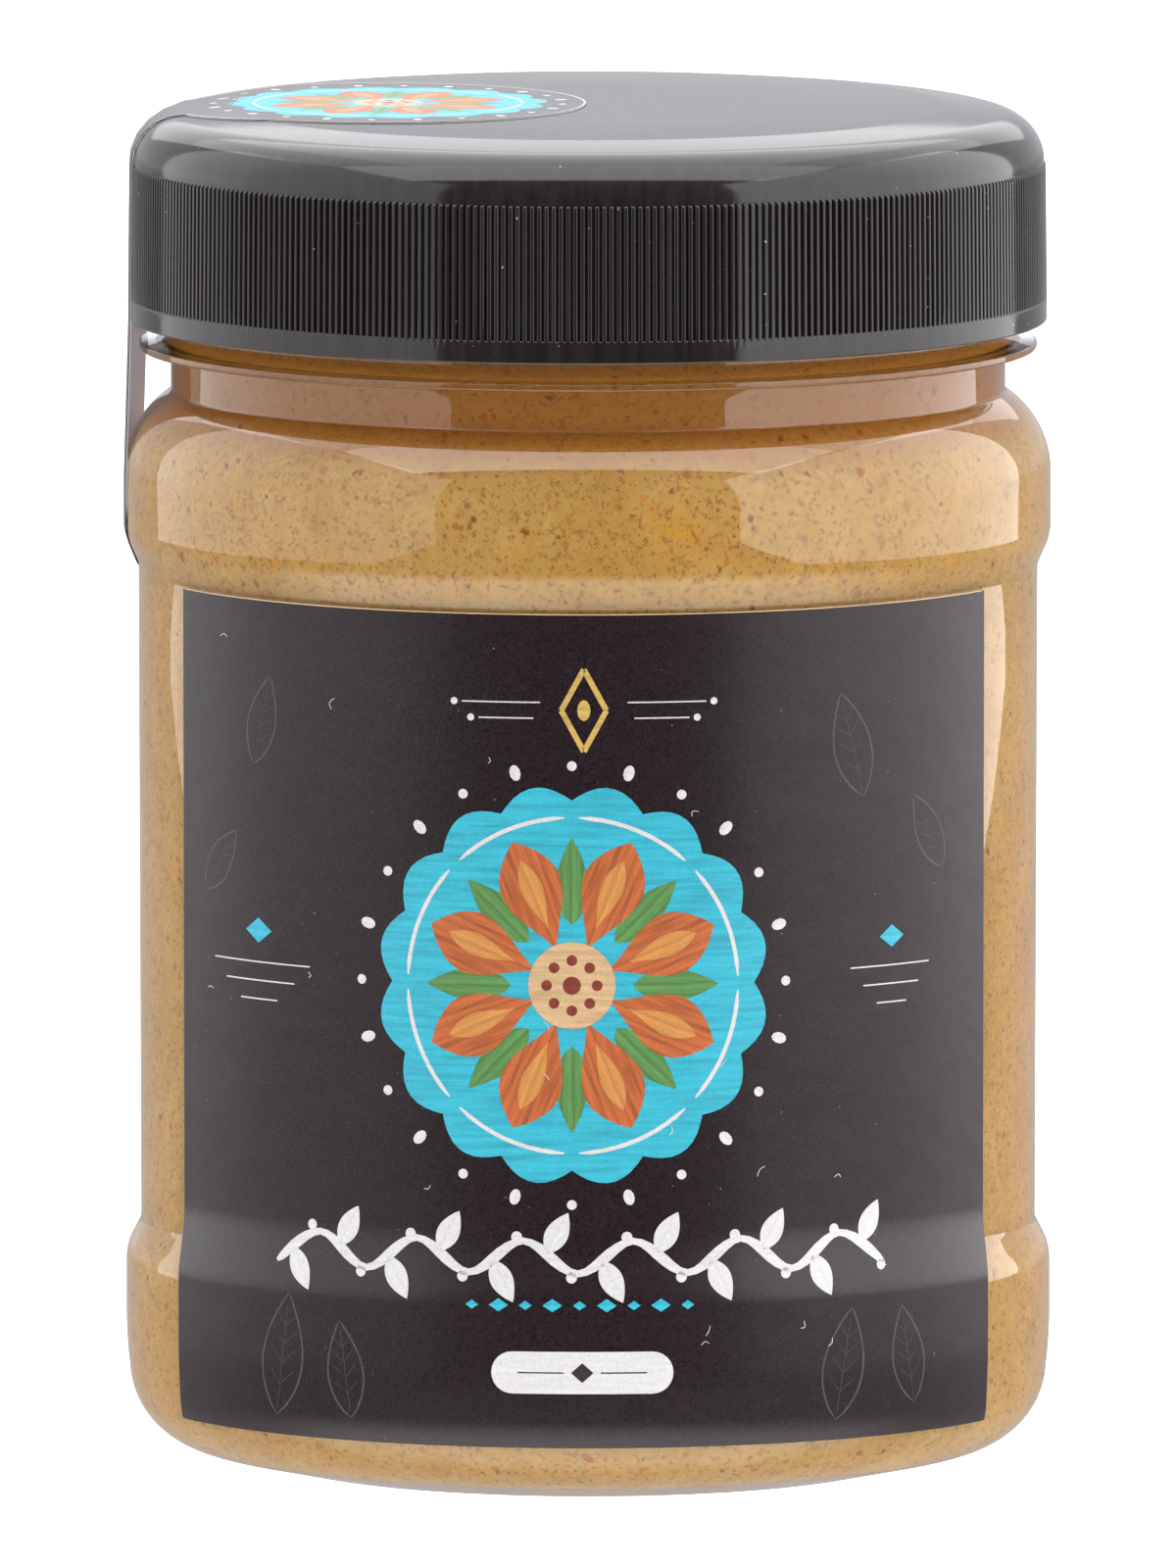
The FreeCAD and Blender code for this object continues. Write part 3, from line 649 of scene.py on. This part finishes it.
def label_print():
    """The rest of the label's ornament: emblem, side marks, vine, row of lozenges, tag, faint leaves."""
    ground, over = PRINT_LIFTS[:2]
    emblem = lozenge(3.4, 6.2) + lozenge(3.4, 6.2)[:1]
    rim = [stroke([emblem[k], emblem[k + 1]], 0.42, 1) for k in range(4)]
    decal("print_emblem", [(loop, (0.4, 60.8, 0)) for loop in rim] + [(ellipse(0.5, 0.8, 12), (0.4, 60.8, 0))],
          label_surface, ground, INKS["yellow"])
    rules = [((-length / 2, 0), (length / 2, 0), (x, z, 0)) for x, z, length in
             ((-5.9, 61.4, 6.0), (-5.5, 60.2, 4.2), (6.7, 61.4, 6.0), (6.3, 60.2, 4.2),
              (-27.1, 40.6, 10.5), (-27.1, 39.2, 7.5), (-27.1, 37.8, 4.0),
              (25.8, 40.6, 8.0), (25.8, 39.2, 5.6), (25.8, 37.8, 3.0))]
    dots = [(ellipse(0.28, 0.28, 10), (x, z, 0)) for x, z in ((-9.5, 61.4), (-8.2, 60.2), (10.3, 61.4), (9.0, 60.2))]
    decal("print_rules", [(stroke([a, b], 0.3), frame_at) for a, b, frame_at in rules] + dots, label_surface, ground,
          INKS["white"])
    decal("print_marks", [(lozenge(2.8, 1.9), (-27.1, 43.0, 0)), (lozenge(2.4, 1.7), (25.8, 42.8, 0))]
          + [(lozenge(1.5 if k % 2 else 1.0, 1.0 if k % 2 else 0.7), (-8.1 + 2.05 * k, 15.9, 0)) for k in range(9)],
          label_surface, ground, INKS["cyan"], 0.35)
    wave = smooth_path([(-25 + 4.16 * k, 19.4 + (1.25 if k % 2 else -1.15)) for k in range(13)], 7)
    vine = [(stroke(wave, lambda t: 0.5 + 0.32 * math.sin(t * 37.7) ** 2, 0.5), (0, 0, 0))]
    for k in range(12):
        x, z = wave[7 * k + 3]
        vine.append((leaf(3.5, 1.75, 0.45), (x, z, (62 if k % 2 else -62))))
        vine.append((ellipse(0.42, 0.42, 12), (x + 1.9, z + (-1.75 if k % 2 else 1.75), 0)))
    decal("print_vine", vine, label_surface, ground, INKS["white"], 0.4)
    tag = (0.3, 10.8, 0)
    decal("print_tag", [(rounded_box(-6.9, -1.6, 6.9, 1.6, 1.6), tag)], label_surface, ground, INKS["white"])
    decal("print_tag_marks", [(stroke([(-4.9, 0), (-1.4, 0)], 0.3), tag), (stroke([(1.4, 0), (4.9, 0)], 0.3), tag),
                              (lozenge(1.7, 1.5), tag)], label_surface, over, INKS["dark"])
    faint = []
    for x, z, size, lean in ((-27.6, 55.6, 7.0, 75), (23.0, 53.6, 8.2, 105), (-33.6, 45.6, 6.2, 50),
                             (31.4, 47.6, 6.6, 120), (-25.0, 6.6, 9.4, 82), (-18.0, 6.8, 7.4, 98),
                             (20.4, 6.6, 8.6, 80), (28.0, 7.4, 7.6, 100)):
        rim = leaf(size, size * 0.42, 0.45)[:15]
        faint += [(stroke([(a, up * b) for a, b in rim], 0.16), (x, z, lean)) for up in (1, -1)]
        faint.append((stroke([(0.4, 0), (size * 0.9, 0)], 0.14), (x, z, lean)))
        for t in (0.25, 0.42, 0.58, 0.73):
            for up in (1, -1):
                faint.append((stroke([(size * t, 0), (size * (t + 0.13), up * size * 0.13)], 0.11), (x, z, lean)))
    decal("print_leaves", faint, label_surface, ground, INKS["faint"])


label_print()


def lint():
    """Tiny pale hairs caught on the label."""
    random.seed(11)
    hairs = []
    for _ in range(18):
        bend, reach = random.uniform(-0.25, 0.25), random.uniform(0.2, 0.5)
        path = smooth_path([(-reach, 0), (0, bend), (reach, random.uniform(-0.2, 0.2))], 4)
        hairs.append((stroke(path, 0.045), (random.uniform(-34, 34), random.uniform(7, 66), random.uniform(0, 180))))
    decal("label_lint", hairs, label_surface, PRINT_LIFTS[-1] + 0.004, INKS["white"])


lint()
# Thin cream strip along the label's top edge: its pale cut edge plus a painted highlight where the edge catches
# light.
edge = LABEL_ANGLE / 2 * DEG * LABEL_R - 0.3
decal("label_edge_highlight", [([(-edge, 67.99), (edge, 67.99), (edge, 68.08), (-edge, 68.08)], (0, 0, 0))], label_surface,
      PRINT_LIFTS[0], INKS["cream"], 0.6)

# ---------------------------------------------------------------- seal label

seal_path = subdivided(rounded([(FACE_R, LID_TOP), (LID_TOP_R, LID_EDGE, EDGE_ROUND), (LID_FOOT_R, KNURL_LOW),
                                (LID_FOOT_R, LID_FOOT), (SHOULDER + SEAL_LIFT, SEAL_GRIP),
                                (SHOULDER + SEAL_LIFT, SEAL_BEND, 3), (PANEL_TOP + 0.10, SEAL_FOOT)], 4), 1.0)
seal_run = [0.0]
for here, there in zip(seal_path, seal_path[1:]):
    seal_run.append(seal_run[-1] + (there - here).length)


def seal_normal(k):
    """Outward direction of the seal's path at its point k."""
    a, b = seal_path[max(0, k - 1)], seal_path[min(len(seal_path) - 1, k + 1)]
    along = (b - a).normalized()
    return Vector((-along[1], along[0]))


seal_out = [seal_normal(k) for k in range(len(seal_path))]


def seal_surface(x, y, lift):
    """Point on the seal label: x out from the lid's centre along the film, y across it."""
    if math.hypot(x, y) <= FACE_R:
        spot, z = (x, y), LID_TOP + lift
    else:
        run = x - math.sqrt(FACE_R ** 2 - y * y)
        k = max(0, min(len(seal_run) - 2, sum(1 for r in seal_run if r <= run) - 1))
        t = (run - seal_run[k]) / (seal_run[k + 1] - seal_run[k])
        point = seal_path[k].lerp(seal_path[k + 1], t) + seal_out[k].lerp(seal_out[k + 1], t) * lift
        spot, z = (math.sqrt(point[0] ** 2 - y * y), y), point[1]
    a = (180 + SEAL_TURN) * DEG
    return (spot[0] * math.cos(a) - spot[1] * math.sin(a), spot[0] * math.sin(a) + spot[1] * math.cos(a), z)


def seal_flat(x, y):
    """Flat coordinates of a point of the plan."""
    radius = math.hypot(x, y)
    if radius <= FACE_R:
        return (x, y)
    k = next(i for i, p in enumerate(seal_path) if p[0] >= radius)
    t = (radius - seal_path[k - 1][0]) / (seal_path[k][0] - seal_path[k - 1][0])
    return (math.sqrt(FACE_R ** 2 - y * y) + seal_run[k - 1] + t * (seal_run[k] - seal_run[k - 1]), y)


def seal_outline(inset=0.0, short=0.0):
    half, head = SEAL_WIDTH / 2 - inset, SEAL_HEAD - inset
    start = math.degrees(math.asin(half / head))
    loop = [seal_flat(SEAL_OFFSET + x, y) for x, y in arc(head, start, 360 - start, 72)]
    end = math.sqrt(FACE_R ** 2 - half ** 2) + seal_run[-1] - inset - short
    return loop + [(end, -half), (end, half)]


def seal_inner_material():
    """The film's pale inner side, lightened by a painted glow, with painted shade where its tail lies on the jar."""
    material = film_material("seal_lilac_glow_and_shade", srgb(236, 228, 234), 0.35, 0.05)
    tree = material.node_tree
    shader = tree.nodes["Principled BSDF"]
    # Painted glow: emission lightens the pale inner side; it is no lamp.
    shader.inputs["Emission Color"].default_value = srgb(214, 206, 216)
    height = add(tree, "ShaderNodeSeparateXYZ", {"Vector": place(tree)}).outputs["Z"]
    # Painted shade: below this height the tail lies against the jar and is darkened to brown; above it the film
    # glows.
    pale = add(tree, "ShaderNodeMapRange", {"Value": height, "From Min": 72.0, "From Max": 73.2}).outputs["Result"]
    tone = mix(tree, pale, srgb(70, 56, 50), shader.inputs["Base Color"].links[0].from_socket)
    tree.links.new(tone, shader.inputs["Base Color"])
    # Painted glow, only where the film is pale.
    tree.links.new(math_node(tree, "MULTIPLY", pale, 0.15), shader.inputs["Emission Strength"])
    return material


verts, faces, _ = patch(seal_outline(), seal_surface, 1.3, SEAL_FACE, SEAL_UNDER)
piece("seal_film", verts, faces, film_material("seal_dark", (0.018, 0.015, 0.018, 1), 0.22, 0.1), "seal_label")
verts, faces, _ = patch(seal_outline(0.02, 0.1), seal_surface, 1.3, SEAL_UNDER + 0.01, SEAL_INNER)
piece("seal_back", verts, faces, seal_inner_material(), "seal_label")
rosette("seal", seal_surface, SEAL_OFFSET - 0.6, 0.0, 0.8, SEAL_LIFTS)
head_edge = seal_outline(0.1)[:73]
decal("seal_edge", [(stroke(head_edge, 0.14, 1), (0, 0, 0))], seal_surface, SEAL_LIFTS[1],
      INKS["white"])
decal("seal_marks", [(lozenge(4.4, 3.0), (x, 0, 0)) for x in (45.0, 51.0, 57.0)], seal_surface, SEAL_LIFTS[1],
      INKS["cyan"])
decal("seal_rules", [(stroke([(44.0, y), (58.0, y)], 0.35), (0, 0, 0)) for y in (-4.4, 4.4)], seal_surface,
      SEAL_LIFTS[1], INKS["white"])

# ---------------------------------------------------------------- lights, floor, camera


def panel_light(name, centre, aim, width, height, radiance, shown=True):
    """A softbox facing aim, bright by its radiance; shown: seen in reflections."""
    light = bpy.data.lights.new(name, "AREA")
    light.shape, light.size, light.size_y = "RECTANGLE", width, height
    light.energy = radiance * 4 * width * height
    obj = bpy.data.objects.new(name, light)
    obj.location = centre
    obj.rotation_euler = (Vector(aim) - Vector(centre)).to_track_quat("-Z", "Y").to_euler()
    obj.visible_camera, obj.visible_glossy = False, shown
    bpy.context.scene.collection.objects.link(obj)


panel_light("left_box", (-0.6, -0.1, 0.36), (0, -0.1, 0.36), 1.36, 0.78, 0.95)
panel_light("right_box", (0.6, -0.1, 0.36), (0, -0.1, 0.36), 1.36, 0.78, 1.7)
panel_light("back_box", (0, 1.45, 0.603), (0, 1.106, -0.335), 1.5, 0.826, 0.8)
panel_light("top_box", (0, 0.5325, 0.848), (0, 0.3445, -0.134), 1.5, 1.084, 1.35)
panel_light("top_core", (0, 0.5300, 0.838), (0, 0.3445, -0.134), 0.8, 1.084, 0.6)
panel_light("brow_box", (0, -0.3, 0.9), (0, -0.13, -0.09), 1.5, 0.62, 2.5)
panel_light("front_fill", (0, -1.05, 0.62), (0, 0, 0.08), 0.9, 0.45, 1.3, False)


def studio_world():
    """Pale grey room: lighter behind the object, darker on the camera's side."""
    world = bpy.data.worlds.new("studio")
    world.use_nodes = True
    tree = world.node_tree
    direction = add(tree, "ShaderNodeTexCoord").outputs["Generated"]
    way = add(tree, "ShaderNodeSeparateXYZ", {"Vector": direction})
    colour = ramp(tree, math_node(tree, "MULTIPLY_ADD", way.outputs["Y"], 0.5, 0.5), (0.0, 0.10), (0.11, 0.22),
                  (0.5, 0.4), (0.62, (0.75, 0.76, 0.80, 1)))
    height = math_node(tree, "MULTIPLY_ADD", way.outputs["Z"], 0.5, 0.5)
    colour = mix(tree, 1.0, colour, ramp(tree, height, (0.465, 0.65), (0.50, 1.0)), "MULTIPLY")
    under = ramp(tree, math_node(tree, "MULTIPLY_ADD", way.outputs["Y"], 0.5, 0.5), (0.4, (2.4, 2.35, 2.3, 1)),
                 (0.6, (0.8, 0.78, 0.78, 1)))
    colour = mix(tree, ramp(tree, height, (0.20, 1.0), (0.33, 0.0)), colour, under)
    tree.links.new(colour, tree.nodes["Background"].inputs["Color"])
    bpy.context.scene.world = world


studio_world()


def floor_ring(name, radii, glow):
    """Part of the pale floor, with its own backlight; the world stands in for it in reflections."""
    verts, faces = lathe([Vector((r, 0)) for r in radii], 96)
    mesh = bpy.data.meshes.new(name)
    mesh.from_pydata([Vector(v) for v in verts], [], faces)
    ring = bpy.data.objects.new(name, mesh)
    bpy.context.scene.collection.objects.link(ring)
    mesh.materials.append(new_material(name, Base_Color=(0.55, 0.55, 0.55, 1), Roughness=0.9,
                                       Emission_Color=(1, 1, 1, 1), Emission_Strength=glow)[0])
    ring.visible_glossy = False


floor_ring("floor_near", [0.075, 0], 1.75)
floor_ring("floor_far", [6, 0.075], 0.72)

camera_data = bpy.data.cameras.new("camera")
camera_data.sensor_fit, camera_data.sensor_height, camera_data.lens = "VERTICAL", 36.0, 1250.8
camera_data.clip_end = 20
camera = bpy.data.objects.new("camera", camera_data)
camera.location = (0, -4.1018, 0.5029)
camera.rotation_euler = (83.72 * DEG, 0, 0)
bpy.context.scene.collection.objects.link(camera)
bpy.context.scene.camera = camera
bpy.context.scene.view_settings.view_transform = "Standard"
bpy.context.scene.cycles.max_bounces = 12
bpy.context.scene.cycles.transmission_bounces = 8
